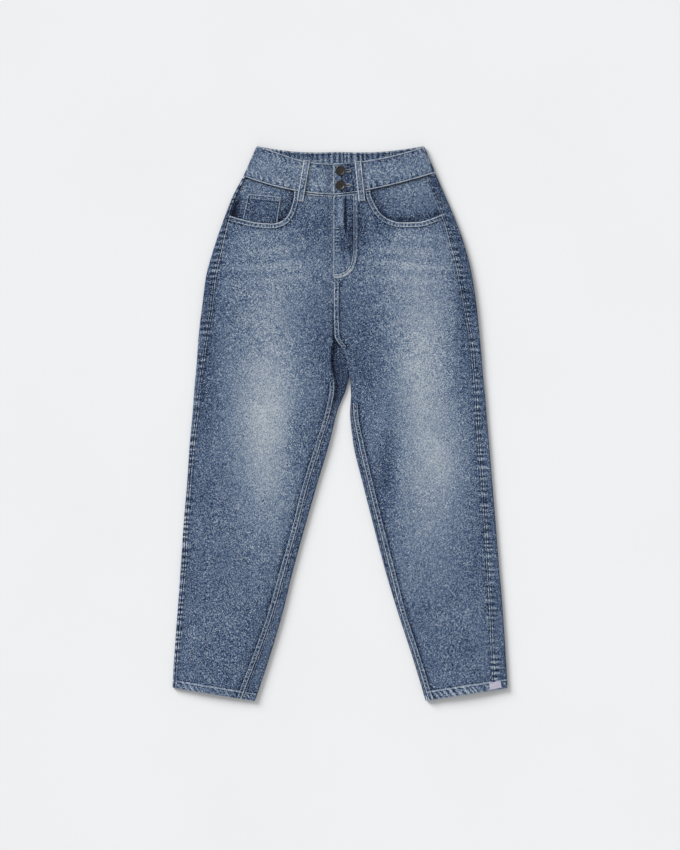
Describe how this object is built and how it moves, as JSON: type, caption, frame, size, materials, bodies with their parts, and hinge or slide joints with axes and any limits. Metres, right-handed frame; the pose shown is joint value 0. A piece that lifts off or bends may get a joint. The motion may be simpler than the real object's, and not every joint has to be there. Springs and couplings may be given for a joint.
{
  "type": "mom jeans",
  "caption": "High-waisted mom jeans in washed blue denim, laid flat on their back with the front up.",
  "frame": {"origin": "middle of the underside of the whole garment's box, on the surface it lies on", "axes": "+X to the wearer's left, +Y up to the waist, +Z away from the surface, out of the front"},
  "size_m": [0.6008, 0.997, 0.0143],
  "materials": {
    "denim": "washed denim twill",
    "denim_band": "washed denim twill",
    "denim_dark": "unfaded denim twill",
    "button_metal": "dark antique metal",
    "zip_tape": "woven tape",
    "label": "woven, bare"
  },
  "bodies": {
    "root": {"front_right": "denim", "front_left": "denim", "back_right": "denim", "back_left": "denim", "yoke_right": "denim", "yoke_left": "denim", "waistband_right": "denim_band", "waistband_left": "denim_band", "waistband_back": "denim_band", "pocket_facing_right": "denim", "pocket_facing_left": "denim", "coin_pocket": "denim_dark", "fly_zip": "zip_tape", "loop_front_right": "denim_band", "loop_front_left": "denim_band", "loop_back_centre": "denim_band", "loop_back_right": "denim_band", "loop_back_left": "denim_band", "back_pocket_right": "denim", "back_pocket_left": "denim", "button_upper": "button_metal", "button_lower": "button_metal", "hem_tab": "label"}
  },
  "joints": []
}
